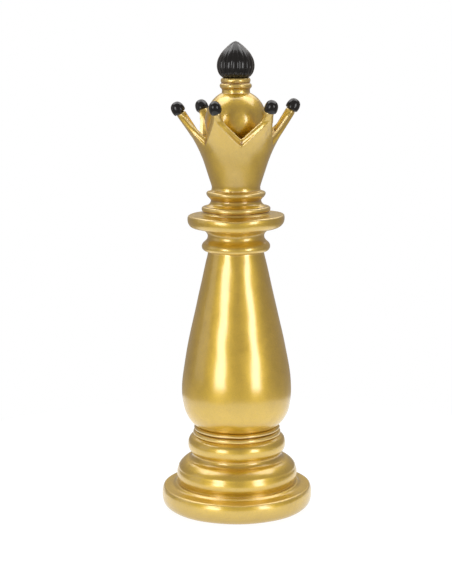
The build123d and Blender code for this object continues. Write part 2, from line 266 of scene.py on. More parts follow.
class Nodes:
    """Short names for the shader nodes that the materials below share."""

    def __init__(self, name):
        self.material = bpy.data.materials.new(name)
        self.material.use_nodes = True
        self.tree = self.material.node_tree
        self.tree.nodes.clear()
        self.shader = self.add("ShaderNodeBsdfPrincipled")
        out = self.add("ShaderNodeOutputMaterial")
        self.join(self.shader.outputs[0], out.inputs["Surface"])
        self.place = self.add("ShaderNodeTexCoord").outputs["Object"]

    def add(self, kind, **values):
        node = self.tree.nodes.new(kind)
        for key, value in values.items():
            setattr(node, key, value)
        return node

    def join(self, source, target):
        self.tree.links.new(source, target)

    def put(self, target, value):
        if hasattr(value, "is_output"):
            self.join(value, target)
        else:
            target.default_value = value

    def set(self, **values):
        for key, value in values.items():
            self.put(self.shader.inputs[key.replace("_", " ")], value)

    def noise(self, scale, detail=3.0, rough=0.55, place=None, distortion=0.0):
        node = self.add("ShaderNodeTexNoise")
        self.put(node.inputs["Vector"], place or self.place)
        node.inputs["Scale"].default_value = scale
        node.inputs["Detail"].default_value = detail
        node.inputs["Roughness"].default_value = rough
        node.inputs["Distortion"].default_value = distortion
        return node.outputs["Fac"]

    def cells(self, scale, output="Distance"):
        node = self.add("ShaderNodeTexVoronoi")
        self.join(self.place, node.inputs["Vector"])
        node.inputs["Scale"].default_value = scale
        return node.outputs[output]

    def stretched(self, x, y, z):
        node = self.add("ShaderNodeVectorMath", operation="MULTIPLY")
        self.join(self.place, node.inputs[0])
        node.inputs[1].default_value = (x, y, z)
        return node.outputs[0]

    def math(self, kind, a, b=0.0, c=0.0):
        node = self.add("ShaderNodeMath", operation=kind)
        for socket, value in zip(node.inputs, (a, b, c)):
            self.put(socket, value)
        return node.outputs[0]

    def span(self, value, low, high, to_low=0.0, to_high=1.0):
        node = self.add("ShaderNodeMapRange")
        self.join(value, node.inputs["Value"])
        for key, number in (("From Min", low), ("From Max", high), ("To Min", to_low), ("To Max", to_high)):
            node.inputs[key].default_value = number
        return node.outputs[0]

    def mix(self, amount, a, b, blend="MIX"):
        node = self.add("ShaderNodeMix", data_type="RGBA", blend_type=blend)
        self.put(node.inputs[0], amount)
        for socket, value in ((node.inputs[6], a), (node.inputs[7], b)):
            if isinstance(value, tuple):
                value = (*value, 1.0)
            self.put(socket, value)
        return node.outputs[2]

    def uneven(self, value, noise, amount):
        """A value with noise added to it, amount from its lowest to its highest."""
        return self.math("ADD", value, self.math("MULTIPLY", self.math("SUBTRACT", noise, 0.5), amount))

    def bump(self, height, strength, distance, after=None):
        node = self.add("ShaderNodeBump")
        node.inputs["Strength"].default_value = strength
        node.inputs["Distance"].default_value = distance
        self.join(height, node.inputs["Height"])
        if after is not None:
            self.join(after, node.inputs["Normal"])
        return node.outputs[0]

    def attribute(self, name):
        return self.add("ShaderNodeAttribute", attribute_name=name).outputs["Fac"]


# Heights of the painted shade on the foot's lower face, in metres.
FOOT_SHADE_TOP = 0.016
FOOT_SHADE_FULL = 0.004


def gold_paint():
    n = Nodes("gold_paint")
    bend = n.attribute("bend")
    cloud = n.noise(38, 4, 0.6)
    fine = n.noise(1300, 3, 0.6)
    patch = n.noise(95, 5, 0.65, distortion=0.6)
    crease = n.span(n.uneven(bend, patch, 0.1), -0.04, -0.3)
    edge = n.span(n.uneven(bend, fine, 0.12), 0.1, 0.42)
    base = n.mix(n.span(cloud, 0.35, 0.65), (0.705, 0.468, 0.024), (0.757, 0.508, 0.038))
    base = n.mix(n.span(patch, 0.48, 0.78, 0, 0.6), base, (0.60, 0.378, 0.02))
    # Painted shade: creases are painted a darker amber, standing in for shade and gold reflected in gold.
    base = n.mix(n.math("MULTIPLY", crease, 0.9), base, (0.36, 0.17, 0.009))
    # Painted highlight: sharp edges are painted a paler, lighter gold.
    base = n.mix(n.math("MULTIPLY", edge, 0.75), base, (0.95, 0.74, 0.30))
    # Metal flake: tiny cells, each a little lighter or darker.
    flake = n.cells(2600, "Color")
    grey = n.add("ShaderNodeRGBToBW")
    n.join(flake, grey.inputs[0])
    light = n.span(grey.outputs[0], 0.15, 0.85, 0.90, 1.09)
    shade = n.add("ShaderNodeCombineColor")
    for k in range(3):
        n.join(light, shade.inputs[k])
    base = n.mix(0.75, base, shade.outputs[0], "MULTIPLY")
    # Faint tarnish specks and a few reddish undercoat stains.
    speck = n.span(n.cells(240), 0.09, 0.03)
    speck = n.math("MULTIPLY", speck, n.span(n.noise(60, 2, 0.5), 0.56, 0.7))
    base = n.mix(n.math("MULTIPLY", speck, 0.55), base, (0.33, 0.19, 0.07))
    stain = n.span(n.noise(26, 5, 0.7, distortion=1.2), 0.66, 0.8, 0, 0.3)
    base = n.mix(stain, base, (0.62, 0.33, 0.12))
    # Painted shade: the foot's lower face is painted darker towards the floor, from the first height above
    # down to the second, in metres.
    split = n.add("ShaderNodeSeparateXYZ")
    n.join(n.place, split.inputs[0])
    foot_shade = n.span(split.outputs["Z"], FOOT_SHADE_TOP, FOOT_SHADE_FULL, 0, 0.5)
    base = n.mix(foot_shade, base, (0.34, 0.215, 0.022))
    n.set(Base_Color=base, Metallic=0.97)
    rough = n.math("ADD", n.span(fine, 0.3, 0.7, 0.40, 0.47), n.math("MULTIPLY", crease, 0.06))
    rough = n.math("ADD", rough, n.span(cloud, 0.3, 0.7, -0.02, 0.03))
    n.set(Roughness=rough)
    n.set(Coat_Weight=1.0, Coat_Roughness=0.2, Coat_IOR=2.1)
    peel = n.bump(n.noise(150, 2, 0.5), 0.2, 0.0006)
    strokes = n.bump(n.noise(1.0, 3, 0.6, n.stretched(110, 110, 420)), 0.14, 0.00022, peel)
    grain = n.bump(fine, 0.4, 0.00007, strokes)
    n.set(Normal=n.bump(grey.outputs[0], 0.2, 0.0001, grain))
    return n.material


def black_paint():
    n = Nodes("black_paint")
    bend = n.attribute("bend")
    fine = n.noise(1100, 3, 0.6)
    worn = n.span(n.uneven(bend, fine, 0.25), 0.4, 1.0)
    base = n.mix(n.span(n.noise(140, 3), 0.35, 0.7), (0.0028, 0.0028, 0.0031), (0.006, 0.0058, 0.006))
    base = n.mix(n.math("MULTIPLY", worn, 0.25), base, (0.025, 0.023, 0.021))
    n.set(Base_Color=base, Roughness=n.span(fine, 0.3, 0.7, 0.2, 0.3))
    n.set(Specular_IOR_Level=0.2, Coat_Weight=0.72, Coat_Roughness=0.15, Coat_IOR=1.5)
    n.set(Normal=n.bump(fine, 0.15, 0.00004, n.bump(n.noise(120, 2), 0.15, 0.0002)))
    return n.material


def steel():
    n = Nodes("zinc_steel")
    brushed = n.noise(1.0, 4, 0.6, n.stretched(900, 900, 120))
    cloud = n.noise(160, 3)
    base = n.mix(n.span(cloud, 0.3, 0.7), (0.50, 0.50, 0.49), (0.66, 0.66, 0.64))
    spangle = n.cells(420, "Color")
    base = n.mix(0.12, base, spangle, "SOFT_LIGHT")
    n.set(Base_Color=base, Metallic=1.0, Roughness=n.span(brushed, 0.3, 0.7, 0.26, 0.42))
    n.set(Normal=n.bump(brushed, 0.3, 0.0002))
    return n.material


def ballast_iron():
    n = Nodes("cast_ballast")
    pits = n.noise(300, 6, 0.7)
    base = n.mix(n.span(pits, 0.4, 0.65), (0.07, 0.068, 0.066), (0.135, 0.128, 0.12))
    base = n.mix(n.span(n.noise(70, 4, 0.6), 0.58, 0.75), base, (0.16, 0.075, 0.035))
    n.set(Base_Color=base, Metallic=0.7, Roughness=n.span(pits, 0.3, 0.7, 0.5, 0.75))
    n.set(Normal=n.bump(pits, 0.7, 0.0006))
    return n.material


def moulded_plate():
    n = Nodes("moulded_plate")
    texture = n.noise(900, 3, 0.6)
    base = n.mix(n.span(n.noise(60, 3), 0.35, 0.7), (0.016, 0.016, 0.017), (0.026, 0.026, 0.027))
    n.set(Base_Color=base, Roughness=n.span(texture, 0.3, 0.7, 0.48, 0.62))
    n.set(Normal=n.bump(texture, 0.4, 0.0002))
    return n.material


def felt_wool():
    n = Nodes("felt_wool")
    fibre = n.noise(1.0, 5, 0.7, n.stretched(900, 2300, 900), distortion=2.0)
    fibre_across = n.noise(1.0, 5, 0.7, n.stretched(2300, 900, 900), distortion=2.0)
    nap = n.math("MAXIMUM", fibre, fibre_across)
    cloud = n.noise(90, 4, 0.6)
    base = n.mix(n.span(nap, 0.45, 0.72), (0.006, 0.0063, 0.007), (0.03, 0.031, 0.034))
    base = n.mix(n.span(cloud, 0.4, 0.7, 0, 0.4), base, (0.018, 0.018, 0.02))
    lint = n.span(n.cells(330), 0.05, 0.015, 0, 0.5)
    base = n.mix(lint, base, (0.12, 0.115, 0.11))
    n.set(Base_Color=base, Roughness=0.95)
    n.set(Sheen_Weight=0.35, Sheen_Roughness=0.5, Sheen_Tint=(0.3, 0.3, 0.32, 1), Specular_IOR_Level=0.2)
    n.set(Normal=n.bump(nap, 0.8, 0.0005))
    return n.material


GOLD = gold_paint()
BLACK = black_paint()
STEEL = steel()
IRON = ballast_iron()
PLATE = moulded_plate()
FELT = felt_wool()

for node, material in (
    ("finial_dowel", STEEL),
    ("tie_rod", STEEL),
    ("tie_rod_nuts", STEEL),
    ("tie_rod_washers", STEEL),
    ("base_plate_screws", STEEL),
    ("ballast_weight", IRON),
    ("base_plate", PLATE),
    *((f"bead_pin_{k}", STEEL) for k in range(1, 7)),
):
    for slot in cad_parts[node].material_slots:
        slot.material = material


# Turned castings ----------------------------------------------------------------------------------
# Each inside line repeats the CAD's socket, bore and spigot, so the castings still nest.

SPIGOT = 4.0
SOCKET = 4.4
GAP = 0.15
WALL = 3.5


def nested(low, high, spigot, socket):
    """The inside of a casting between two seams, with its socket above and its spigot below."""
    bore = min(spigot - WALL, socket)
    fit = socket + GAP
    return [
        (fit, high),
        (fit, high - SOCKET),
        (bore, high - SOCKET),
        (bore, low - SPIGOT),
        (spigot, low - SPIGOT),
        (spigot, low),
    ]


plinth_top = top_of("base_plinth")
lower_top = top_of("lower_torus")
upper_top = top_of("upper_torus")
bead_ring_top = top_of("bead_ring")
body_top = top_of("body_bulb")
neck_top = top_of("neck_ring")
collar_top = top_of("collar_disc")
pedestal_top = top_of("crown_pedestal")

plinth_low = foot_of("base_plinth")
plinth_inside = [
    (30.15, plinth_top),
    (30.15, plinth_top - SOCKET),
    (3.4, plinth_top - SOCKET),
    (3.4, 15.6),
    (45.65, 15.6),
    (45.65, 4.6),
    (52.15, 4.6),
    (52.15, plinth_low),
]
plinth_outside = [
    (56.4, plinth_low),
    (58.0, 1.3),
    (60.3, 3.4),
    (61.7, 6.4),
    (62.3, 9.8),
    (62.3, 13.4),
    (61.9, 15.6),
    (61.5, 16.35),
    (61.2, 17.3),
    (60.2, 18.0),
    (58.2, 18.15),
    (55.0, 18.5),
    (52.6, 19.1),
    (51.4, 20.0),
    (50.6, plinth_top - 0.05),
    (49.4, plinth_top, 1),
]


def plinth_slips(r, z, a):
    """The plinth's rim was dressed by hand: its lower edge wanders, most of all at the front left."""
    off = np.angle(np.exp(1j * (a - (FRONT - 0.75))))
    low = np.clip((14.0 - z) / 10.0, 0, 1) * (r > 53)
    r = r + low * (0.5 * np.exp(-((off / 0.45) ** 2)) - 0.35 * np.cos(2 * (a - FRONT + 0.3)) * low)
    rim = np.exp(-(((z - 17.2) / 1.6) ** 2)) * (r > 57)
    r = r + rim * 0.22 * np.sin(5 * a + 0.7) * np.sin(2 * a)
    return np.where(r > 53, np.minimum(r, 62.45), r), z


turned("plinth_casting", "base_plinth", plinth_outside, plinth_inside, GOLD, 352, shape=plinth_slips)

turned(
    "lower_torus_casting",
    "lower_torus",
    [
        (48.2, plinth_top),
        (48.5, 22.6),
        (49.6, 25.2),
        (50.0, 28.4),
        (49.75, 30.7),
        (49.15, 32.5),
        (48.75, 33.4, 1),
        (48.75, 34.1),
        (47.9, 35.6),
        (46.3, 37.5),
        (44.4, 39.1),
        (42.5, 40.3),
        (41.1, 40.9, 1),
        (40.4, 40.95),
        (38.6, 41.9),
        (37.1, 43.6),
        (36.55, 45.3),
        (36.9, lower_top, 1),
    ],
    nested(plinth_top, lower_top, 30.0, 28.0),
    GOLD,
    320,
)

turned(
    "upper_torus_casting",
    "upper_torus",
    [
        (37.1, lower_top),
        (37.9, 47.0),
        (39.2, 48.8),
        (40.2, 51.2),
        (40.5, 53.8),
        (40.2, 56.4),
        (39.2, 58.7),
        (37.8, 60.1),
        (36.6, 60.7, 1),
        (36.2, 61.1),
        (35.2, upper_top, 1),
    ],
    nested(lower_top, upper_top, 28.0, 28.0),
    GOLD,
)

turned(
    "bead_ring_casting",
    "bead_ring",
    [
        (35.0, upper_top),
        (35.35, 61.75, 1),
        (36.1, 62.2),
        (36.35, 63.4),
        (35.95, 64.6),
        (34.8, 65.25, 1),
        (33.6, 65.7),
        (34.65, 66.25, 1),
        (35.6, 66.8),
        (35.65, 67.8),
        (34.9, 68.6),
        (33.6, bead_ring_top, 1),
    ],
    nested(upper_top, bead_ring_top, 28.0, 26.0),
    GOLD,
    step=0.35,
    soften=0.28,
)

BULB = [
    (32.9, bead_ring_top),
    (35.2, 70.7),
    (36.9, 72.4),
    (38.6, 74.3),
    (40.5, 77.1),
    (42.2, 80.4),
    (43.55, 84.2),
    (44.6, 89.6),
    (45.2, 95.2),
    (45.35, 100.4),
    (45.1, 106.8),
    (44.4, 113.9),
    (42.75, 124.4),
    (39.7, 140.4),
    (35.95, 157.6),
    (32.1, 174.3),
    (28.3, 190.8),
    (25.2, 204.8),
    (23.2, 213.0),
    (22.75, body_top, 1),
]
body_inside = [
    (17.15, body_top),
    (17.15, body_top - SOCKET),
    (16.1, body_top - SOCKET),
    (26.0, 170.0),
    (33.7, 140.0),
    (38.0, 118.0),
    (39.4, 100.0),
    (38.4, 88.0),
    (34.6, 78.5),
    (27.5, 74.4),
    (22.5, 72.2),
    (22.5, bead_ring_top - SPIGOT),
    (26.0, bead_ring_top - SPIGOT),
    (26.0, bead_ring_top),
]
turned("bulb_casting", "body_bulb", BULB, body_inside, GOLD, 288, step=1.1, soften=0.6)

turned(
    "neck_ring_casting",
    "neck_ring",
    [
        (24.3, body_top),
        (25.9, 216.0),
        (27.5, 217.5),
        (28.0, 219.2),
        (27.75, 221.0),
        (26.7, 222.6),
        (25.0, 224.1),
        (23.7, 225.7),
        (23.1, 227.7),
        (23.3, 229.4),
        (24.1, 230.9),
        (25.7, 232.4),
        (28.2, neck_top, 1),
    ],
    nested(body_top, neck_top, 17.0, 18.0),
    GOLD,
)


def collar_slips(r, z, a):
    """The collar sits a little out of level and its rim dips at the front."""
    edge = np.clip((r - 27.5) / 10.0, 0, 1)
    front = np.angle(np.exp(1j * (a - FRONT)))
    tilt = 0.45 * np.cos(a - 0.1) + 0.15 * np.sin(a)
    dip = 0.6 * np.exp(-(((front - 0.02) / 0.3) ** 2))
    return r, z + edge * (tilt - dip + 0.12 * np.sin(5 * a + 1.0))


turned(
    "collar_casting",
    "collar_disc",
    [
        (28.8, neck_top),
        (31.8, 234.3),
        (35.2, 235.3),
        (37.5, 236.8),
        (38.8, 238.6),
        (39.4, 240.3),
        (39.65, 242.2),
        (39.55, 243.9),
        (39.1, 245.1),
        (38.4, 245.4, 1),
        (33.0, 245.65),
        (29.2, 246.1),
        (28.2, collar_top, 1),
    ],
    nested(neck_top, collar_top, 18.0, 18.0),
    GOLD,
    step=0.45,
    shape=collar_slips,
)

turned(
    "pedestal_casting",
    "crown_pedestal",
    [
        (28.3, collar_top),
        (27.75, 246.9),
        (27.55, 247.6, 1),
        (26.9, 248.0),
        (26.85, 248.5, 1),
        (27.6, 248.8),
        (28.05, 249.9),
        (28.0, 251.2),
        (27.35, 252.2, 1),
        (26.6, 252.45),
        (25.5, 252.2),
        (24.9, 252.35, 1),
        (23.7, 253.2),
        (22.0, 254.3),
        (20.9, 255.8),
        (20.5, 257.4),
        (21.2, 258.6),
        (22.8, 260.2),
        (23.8, 261.6),
        (24.15, 262.7),
        (24.0, 263.8, 1),
        (23.2, 264.45),
        (21.9, 264.85),
        (20.8, 265.15),
        (20.1, pedestal_top, 1),
    ],
    nested(collar_top, pedestal_top, 18.0, 14.0),
    GOLD,
    step=0.4,
    soften=0.35,
)

# Dome, finial neck and bud ------------------------------------------------------------------------

dome_foot = foot_of("crown_dome")
dome_top = top_of("crown_dome")
DOME_R = 25.0
DOME_Z = 322.0


def ball_point(degrees):
    """A point on the dome's ball, counted up from its widest ring."""
    a = math.radians(degrees)
    return (DOME_R * math.cos(a), DOME_Z + DOME_R * math.sin(a))


dome_outside = [
    (12.5, dome_foot, 1),
    (12.5, 294.5),
    (12.9, 298.0),
    *(ball_point(d) for d in range(-50, 60, 10)),
    (12.55, dome_top - 0.35),
    (11.8, dome_top, 1),
]
turned(
    "dome_casting",
    "crown_dome",
    dome_outside,
    [
        (2.55, dome_top),
        (2.55, 340.7),
        (9.5, 338.4),
        (16.4, 331.5),
        (19.0, 322.0),
        (16.4, 312.4),
        (8.5, 305.0),
        (8.5, dome_foot),
    ],
    GOLD,
    224,
    step=0.6,
)

neck_foot = foot_of("finial_neck")
finial_top = top_of("finial_neck")


def neck_facets(r, z, a):
    """The finial's neck was pared by hand, so it is a little faceted."""
    return r + 0.12 * (r > 8) * np.cos(7 * a + 0.4 * z), z


turned(
    "finial_neck_casting",
    "finial_neck",
    [
        (11.5, neck_foot),
        (11.35, 344.8),
        (11.35, 346.6),
        (11.7, 347.5, 1),
        (12.6, 348.3),
        (12.95, 349.6),
        (12.6, 350.9),
        (11.7, 351.5, 1),
        (11.45, 352.0),
        (11.9, 352.8),
        (12.05, 353.9),
        (11.7, 355.2),
        (10.8, finial_top, 1),
    ],
    [(2.55, finial_top), (2.55, neck_foot)],
    GOLD,
    192,
    step=0.3,
    soften=0.25,
    shape=neck_facets,
)

bud_foot = foot_of("finial_bud")
bud_tip = top_of("finial_bud")
BUD_LOBES = 18


def bud_flutes(r, z, a):
    """Rounded lobes with narrow grooves between them, uneven as cut by hand, that fade out at the tip."""
    wander = 0.05 * np.sin(3 * a + 0.9) + 0.024 * np.sin(5 * a + 0.05 * z) + 0.012 * np.sin(0.2 * z)
    lobe = np.abs(np.sin(0.5 * BUD_LOBES * (a + wander)))
    groove = (1 - lobe) ** 1.7
    depth = 0.8 * np.clip((bud_tip - 3.0 - z) / 14.0, 0, 1) * np.clip((r - 4) / 7, 0, 1)
    uneven = 1 + 0.3 * np.sin(4 * a + 2.0) * np.sin(7 * a)
    scallop = np.exp(-(((z - bud_foot) / 2.2) ** 2)) * (r > 6)
    return r - depth * groove * uneven, z + scallop * 0.3 * (1 - lobe)


bud_section = np.vstack(
    [
        [(0, 366.5), (2.55, 366.5), (2.55, bud_foot)],
        through(
            [
                (9.8, bud_foot),
                (11.4, 356.7),
                (13.3, 358.6),
                (14.7, 361.6),
                (15.3, 365.2),
                (14.7, 369.6),
                (13.2, 373.0),
                (11.1, 376.2),
                (8.2, 379.3),
                (5.0, 382.2),
                (2.0, 384.3),
                (0.0, bud_tip),
            ],
            0.4,
            0.3,
        ),
    ]
)
bud_co, bud_quads = lathe(bud_section, 360, closed=False, shape=bud_flutes)
bud = make_piece("bud_carving", bud_co, bud_quads, BLACK, bend_of(bud_co, bud_quads, 1), sharp=50)
stands_for(bud, "finial_bud")


# Crown --------------------------------------------------------------------------------------------
# The cup, its V notches and its prongs are one distance field, so they run into each other as cast.

PRONG_ANGLES = [9.0, 70.5, 127.0, 189.0, 250.0, 306.0]
PRONG_LIFTS = [0.7, -0.8, -1.3, -0.9, 1.2, 1.5]
BEAD_CENTRE = (47.5, 333.3)
PRONG_ROOT = (33.9, 312.5)
BEAD_BACK = 4.5
PRONG_R = 4.0
PIN_BORE_R = 1.25
PIN_BORE_DEPTH = 9.3
CUP = [
    (20.9, 262.0),
    (20.2, 265.6),
    (19.8, 266.5),
    (19.65, 267.6),
    (19.85, 269.0),
    (21.1, 273.0),
    (23.7, 281.0),
    (26.7, 290.0),
    (29.9, 298.0),
    (33.8, 306.0),
    (36.8, 311.0),
    (39.6, 315.0),
    (43.2, 320.0),
    (46.8, 325.0),
    (51.6, 332.0),
    (57.0, 340.0),
]
CUP_WALL = 5.0
CROWN_FLOOR = 288.0
# A notch's foot, its slope beside the foot and how fast it steepens.
NOTCH_FOOT = 308.6
NOTCH_SLOPE = 0.9
NOTCH_BEND = 0.0055
# The chamfer along a notch: how deep it cuts into the wall, how wide it is on the outer face, the scale that
# makes it a distance, and how far it is hollowed.
CHAMFER_DEPTH = 3.2
CHAMFER_WIDTH = 4.5
CHAMFER_SCALE = 2.61
CHAMFER_HOLLOW = 0.62
cup_curve = through(CUP, 0.4, 0.6)


def cup_wall(z):
    """The cup's outer radius at a height, and the cosine of the wall's slope there."""
    r = np.interp(z, cup_curve[:, 1], cup_curve[:, 0])
    rise = np.interp(z + 0.6, cup_curve[:, 1], cup_curve[:, 0]) - r
    return r, 1 / np.sqrt(1 + (rise / 0.6) ** 2)


def prong_lean(lift):
    """A prong's lean from upright, where its bead sits a little high or low."""
    return math.atan2(BEAD_CENTRE[0] - PRONG_ROOT[0], BEAD_CENTRE[1] + lift - PRONG_ROOT[1])


def smooth_max(a, b, k):
    h = np.clip(0.5 - 0.5 * (b - a) / k, 0, 1)
    return b * (1 - h) + a * h + k * h * (1 - h)


def smooth_min(a, b, k):
    return -smooth_max(-a, -b, k)


def crown_field(p):
    """Signed distance to the crown's surface, in millimetres, below 0 inside."""
    x, y, z = p[..., 0], p[..., 1], p[..., 2]
    r = np.hypot(x, y)
    wall_r, cosine = cup_wall(z)
    outer = (r - wall_r) * cosine
    cavity = smooth_max((r - wall_r) * cosine + CUP_WALL, CROWN_FLOOR - z, 1.5)
    solid = np.maximum(outer, pedestal_top - z)
    solid = smooth_max(solid, -cavity, 0.8)
    bands = []
    for k in range(6):
        a, b = PRONG_ANGLES[k], PRONG_ANGLES[(k + 1) % 6]
        b = b + 360 if b < a else b
        middle = math.radians((a + b) / 2)
        depth = 0.35 * math.sin(2.3 * k + 0.6)
        along = x * math.cos(middle) + y * math.sin(middle)
        across = np.sqrt((y * math.cos(middle) - x * math.sin(middle)) ** 2 + 0.3)
        slope = NOTCH_SLOPE + 2 * NOTCH_BEND * across
        notch = z - NOTCH_FOOT - depth - NOTCH_SLOPE * across - NOTCH_BEND * across**2
        notch = np.where(along > 0, notch / np.sqrt(1 + slope**2), -50.0)
        band = (outer / CHAMFER_DEPTH + notch / CHAMFER_WIDTH + 1) * CHAMFER_SCALE
        half = CHAMFER_WIDTH / 2
        band = band + CHAMFER_HOLLOW * np.clip(1 - ((notch + half) / half) ** 2, 0, 1)
        solid = smooth_max(solid, notch, 0.7)
        solid = smooth_max(solid, band, 0.35)
        bands.append(band)
    pins = []
    ease = 4.0 * np.clip((z - 320.0) / 9.0, 0, 1) ** 2
    for angle, lift in zip(PRONG_ANGLES, PRONG_LIFTS):
        lean = prong_lean(lift)
        c, s = math.cos(math.radians(angle)), math.sin(math.radians(angle))
        u = x * c + y * s - BEAD_CENTRE[0]
        t = y * c - x * s
        w = z - BEAD_CENTRE[1] - lift
        along = u * math.sin(lean) + w * math.cos(lean)
        away = np.hypot(u * math.cos(lean) - w * math.sin(lean), t)
        radius = PRONG_R + 0.02 * np.clip(along + BEAD_BACK, -22, 0)
        rod = np.maximum(away - radius, along + BEAD_BACK)
        rod = smooth_max(rod, -26.0 - along, 2.0)
        rod = smooth_max(rod, outer - 0.1, 0.6)
        for band in bands:
            rod = smooth_max(rod, band - ease, 0.8)
        solid = smooth_min(solid, rod, 0.9)
        pins.append(np.maximum(away - PIN_BORE_R, -along - PIN_BORE_DEPTH))
    for pin in pins:
        solid = np.maximum(solid, -pin)
    under = np.maximum(r - 14.0, pedestal_top - SPIGOT - z)
    under = np.maximum(under, z - pedestal_top - 1.0)
    solid = np.minimum(solid, under)
    bore = np.maximum(r - 10.5, z - pedestal_top - 6.0)
    bore = np.minimum(bore, np.maximum(r - 16.6 + 0.36 * np.abs(z - 277.3), np.abs(z - 277.3) - 5.7))
    bore = np.minimum(bore, r - 3.4)
    return np.maximum(solid, -bore)


def surface_net(field, low, step):
    """Quads around the zero level of a field on a grid, with one point in each cell that it crosses."""
    inside = field < 0
    count = np.zeros([n - 1 for n in field.shape], np.int8)
    corners = [(i, j, k) for i in (0, 1) for j in (0, 1) for k in (0, 1)]
    for i, j, k in corners:
        count += inside[i : i + count.shape[0], j : j + count.shape[1], k : k + count.shape[2]]
    cell = np.argwhere((count > 0) & (count < 8))
    number = np.full(count.shape, -1, np.int64)
    number[tuple(cell.T)] = np.arange(len(cell))
    total, hits = np.zeros((len(cell), 3)), np.zeros(len(cell))
    for a in corners:
        for axis in range(3):
            if a[axis]:
                continue
            b = list(a)
            b[axis] = 1
            fa = field[tuple((cell + a).T)]
            fb = field[tuple((cell + b).T)]
            cut = (fa < 0) != (fb < 0)
            t = fa[cut] / (fa[cut] - fb[cut])
            point = np.array(a, float)[None].repeat(cut.sum(), 0)
            point[:, axis] += t
            total[cut] += point
            hits[cut] += 1
    co = low + step * (cell + total / hits[:, None])
    quads = []
    for axis in range(3):
        u, v = (axis + 1) % 3, (axis + 2) % 3
        near = inside[tuple(slice(None, -1) if d == axis else slice(1, -1) for d in range(3))]
        far = inside[tuple(slice(1, None) if d == axis else slice(1, -1) for d in range(3))]
        spots = np.argwhere(near != far)
        enters = far[tuple(spots.T)]
        spots = spots + [0 if d == axis else 1 for d in range(3)]
        ring = []
        for du, dv in ((-1, -1), (0, -1), (0, 0), (-1, 0)):
            at = spots.copy()
            at[:, u] += du
            at[:, v] += dv
            ring.append(number[tuple(at.T)])
        ring = np.stack(ring, 1)
        ring[enters] = ring[enters][:, ::-1]
        quads.append(ring)
    return co, np.vstack(quads)


SMOOTHING = (0.5, -0.52) * 4 + (0.4,)


def settled(co, quads, field, rounds):
    """Evens out the points and draws them back on to the field's zero level, then takes off the ripple where
    parts of the field meet: lightly on the cup, and more on the prongs, which are small against the grid."""
    edges = edges_of(quads)
    a, b = edges.T
    count = np.bincount(edges.ravel(), minlength=len(co)).astype(float)[:, None]

    def around(co):
        total = [np.bincount(a, co[b, k], len(co)) + np.bincount(b, co[a, k], len(co)) for k in range(3)]
        return np.stack(total, 1) / count

    h = 0.08
    for _ in range(rounds):
        co = 0.5 * co + 0.5 * around(co)
        for _ in range(2):
            value = field(co)
            slope = np.stack([field(co + h * e) - field(co - h * e) for e in np.eye(3)], -1) / (2 * h)
            size = np.maximum((slope**2).sum(-1), 0.25)
            co = co - np.clip(value / size, -0.4, 0.4)[:, None] * slope
    far_out = np.clip((np.hypot(co[:, 0], co[:, 1]) - 35) / 4, 0, 1)
    prongs = (far_out * np.clip((co[:, 2] - 310) / 3, 0, 1))[:, None]
    for share in SMOOTHING:
        share = share + prongs * (0.5 - share)
        co = co + share * (around(co) - co)
    return co


def sampled(field, low, high, step):
    """A field's values on a grid, worked out one level at a time."""
    counts = np.ceil((high - low) / step).astype(int)
    xs, ys, zs = (low[d] + step * np.arange(counts[d]) for d in range(3))
    gx, gy = np.meshgrid(xs, ys, indexing="ij")
    return np.stack([field(np.stack([gx, gy, np.full_like(gx, z)], -1)) for z in zs], -1)


CELL = 0.62
GRID_LOW = np.array([-54.0, -54.0, 259.5])
GRID_HIGH = np.array([54.0, 54.0, 337.0])
crown_grid = sampled(crown_field, GRID_LOW, GRID_HIGH, CELL)
crown_co, crown_quads = surface_net(crown_grid, GRID_LOW, CELL)
crown_co = settled(crown_co, crown_quads, crown_field, 2)
crown_bend = bend_of(crown_co, crown_quads, 5)
crown_co = hand_cast(crown_co)
crown = make_piece("crown_casting", crown_co, crown_quads, GOLD, crown_bend, sharp=60)
stands_for(crown, "crown_cup")


# Beads on the prongs ------------------------------------------------------------------------------


def prong_axes(degrees, lean):
    """A prong's direction and two more across it, at right angles."""
    c, s = math.cos(math.radians(degrees)), math.sin(math.radians(degrees))
    along = np.array([math.sin(lean) * c, math.sin(lean) * s, math.cos(lean)])
    side = np.array([-s, c, 0.0])
    return along, side, np.cross(along, side)


bead_section = np.vstack(
    [
        [(0, 0.2), (1.05, 0.2), (1.05, -4.5)],
        through(
            [
                (4.2, -4.5),
                (4.8, -4.3),
                (5.2, -3.2),
                (5.3, -1.4),
                (5.05, 0.7),
                (4.3, 2.7),
                (2.9, 4.2),
                (1.3, 4.85),
                (0.0, 5.0),
            ],
            0.28,
            0.25,
        ),
    ]
)
# The prongs are listed in the CAD's order, so each bead stands for the CAD bead nearest to it.
for k, degrees in enumerate(PRONG_ANGLES):
    seed = 0.9 * k + 0.4

    def drip(r, z, a, seed=seed):
        """The paint's lower edge wanders on each tip, and no tip is quite round."""
        back = np.clip((-z - 1.5) / 3.0, 0, 1) * (r > 2)
        r = r * (1 + 0.02 * np.sin(2 * a + seed) + 0.012 * np.sin(3 * a + 2 * seed))
        return r, z - back * (0.28 * np.sin(2 * a + 3 * seed) + 0.16 * np.sin(5 * a + seed))

    co, quads = lathe(bead_section, 72, closed=False, shape=drip)
    along, side, across = prong_axes(degrees, prong_lean(PRONG_LIFTS[k]))
    c, s = math.cos(math.radians(degrees)), math.sin(math.radians(degrees))
    centre = np.array([BEAD_CENTRE[0] * c, BEAD_CENTRE[0] * s, BEAD_CENTRE[1] + PRONG_LIFTS[k]])
    size = 1.0 + 0.035 * math.sin(4.1 * k + 1.0)
    placed = centre + size * (co[:, :1] * side + co[:, 1:2] * across) + co[:, 2:] * along
    quads = quads[:, ::-1] if np.dot(np.cross(side, across), along) < 0 else quads
    piece = make_piece(f"bead_tip_{k + 1}", placed, quads, BLACK, bend_of(placed, quads, 1), sharp=60)
    stands_for(piece, f"crown_bead_{k + 1}")


# Felt under the foot ------------------------------------------------------------------------------

